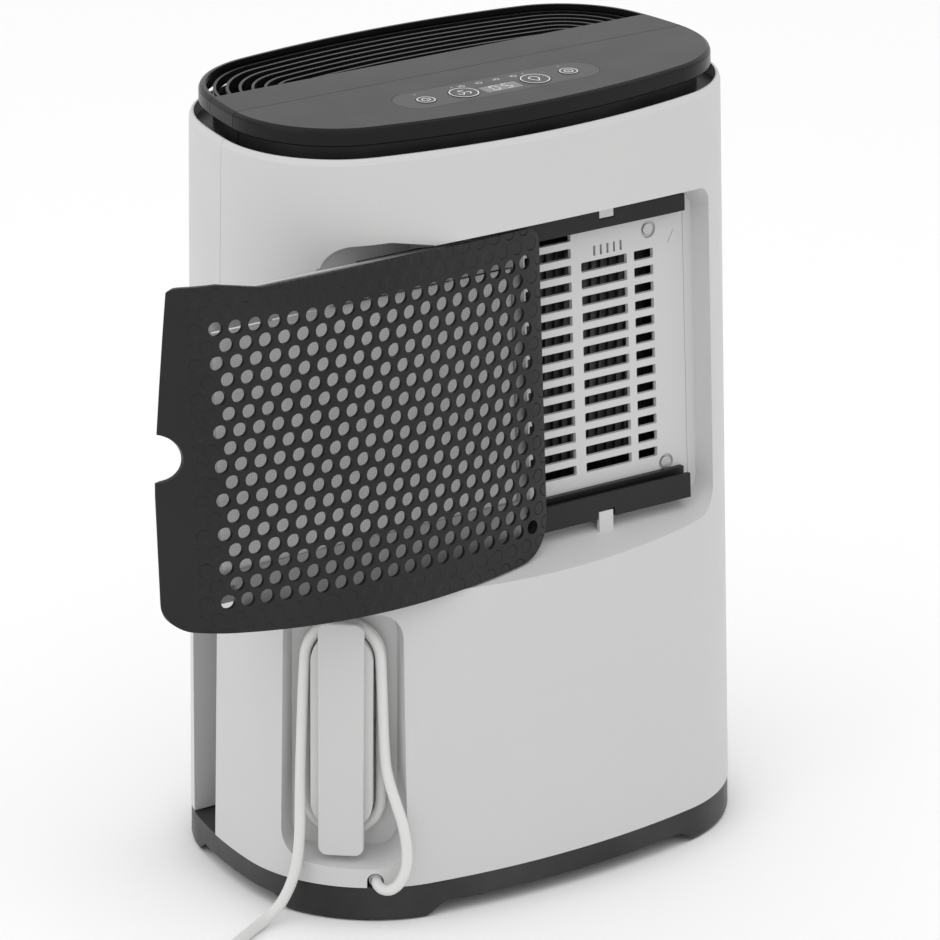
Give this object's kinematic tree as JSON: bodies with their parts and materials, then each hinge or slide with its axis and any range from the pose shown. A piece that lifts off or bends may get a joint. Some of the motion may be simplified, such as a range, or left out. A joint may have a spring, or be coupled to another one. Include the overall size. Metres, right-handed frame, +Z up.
{
  "type": "dehumidifier",
  "caption": "Free-standing compressor dehumidifier with a removable water tank, a perforated filter cover drawn out sideways, a top grille and a mains cord on a winder.",
  "frame": {"origin": "on the floor under the middle of the base, at the underside of the centre foot", "axes": "+Z up, +Y towards the rear with the filter cover, +X towards the side the cover draws out to"},
  "size_m": [0.5235, 0.3234, 0.5103],
  "materials": {
    "white_shell": "fine satin texture",
    "black_base": "satin",
    "black_cap": "fine satin texture",
    "grey_control": "satin",
    "display": "gloss",
    "filter_black": "fine satin texture",
    "filter_grey": "satin",
    "mesh": "woven",
    "cord_white": "satin",
    "tank": "satin",
    "window": "clear",
    "inner_grey": "satin",
    "steel": "satin",
    "compressor_black": "semi-gloss",
    "fins": "dark coating",
    "copper": "polished",
    "board": "satin",
    "rubber": "matt"
  },
  "bodies": {
    "housing": {"base_tray": "black_base", "rubber_feet": "rubber", "rear_shell": "white_shell", "front_shell": "white_shell", "top_frame": "black_base", "top_deck": "black_cap", "centre_band": "black_cap", "outlet_grille": "black_cap", "control_panel": "grey_control", "display_lens": "display", "control_board": "board", "intake_panel": "white_shell", "panel_screws": "steel", "bottom_rail": "filter_black", "top_rail": "filter_black", "cord_winder": "white_shell", "cord_winding": "cord_white", "cord_lead": "cord_white", "cord_run": "cord_white", "cord_coil": "cord_white", "cord_tail": "cord_white", "mains_plug": "cord_white", "cord_bush": "black_base", "chassis": "inner_grey", "compressor_mounts": "rubber", "compressor": "compressor_black", "evaporator": "fins", "condenser": "fins", "coil_bracket": "steel", "drip_tray": "inner_grey", "fan_scroll": "inner_grey", "fan_motor": "steel", "suction_pipe": "copper", "discharge_pipe": "copper", "run_capacitor": "inner_grey", "power_board": "board", "tank_switch": "black_base", "humidity_sensor": "board"},
    "filter_slider": {"filter_cover": "filter_black", "filter_frame": "filter_grey", "filter_mesh": "mesh"},
    "tank": {"water_tank": "tank", "tank_lid": "inner_grey", "level_window": "window", "float_pin": "steel"},
    "tank_float": {"float_arm": "filter_grey"},
    "fan": {"fan_wheel": "black_base", "fan_shaft": "steel"},
    "power_key": {"key_power": "grey_control"},
    "mode_key": {"key_mode": "grey_control"},
    "humidity_key": {"key_humidity": "grey_control"},
    "timer_key": {"key_timer": "grey_control"}
  },
  "joints": [
    {"name": "filter_slider_draw", "type": "slide", "parent": "housing", "child": "filter_slider", "axis": [1, 0, 0], "range_m": [-0.125, 0.18]},
    {"name": "tank_draw", "type": "slide", "parent": "housing", "child": "tank", "axis": [0, -1, 0], "range_m": [0, 0.16]},
    {"name": "float_rise", "type": "hinge", "parent": "tank", "child": "tank_float", "pos_m": [0.095, -0.03, 0.192], "axis": [-1, 0, 0], "range_deg": [0, 25]},
    {"name": "fan_spin", "type": "hinge", "parent": "housing", "child": "fan", "pos_m": [0, -0.03, 0.33], "axis": [0, 1, 0], "continuous": true},
    {"name": "power_key_press", "type": "slide", "parent": "housing", "child": "power_key", "axis": [0, 0, -1], "range_m": [0, 0.0008], "stiffness_N_per_m": 300},
    {"name": "mode_key_press", "type": "slide", "parent": "housing", "child": "mode_key", "axis": [0, 0, -1], "range_m": [0, 0.0008], "stiffness_N_per_m": 300},
    {"name": "humidity_key_press", "type": "slide", "parent": "housing", "child": "humidity_key", "axis": [0, 0, -1], "range_m": [0, 0.0008], "stiffness_N_per_m": 300},
    {"name": "timer_key_press", "type": "slide", "parent": "housing", "child": "timer_key", "axis": [0, 0, -1], "range_m": [0, 0.0008], "stiffness_N_per_m": 300}
  ]
}
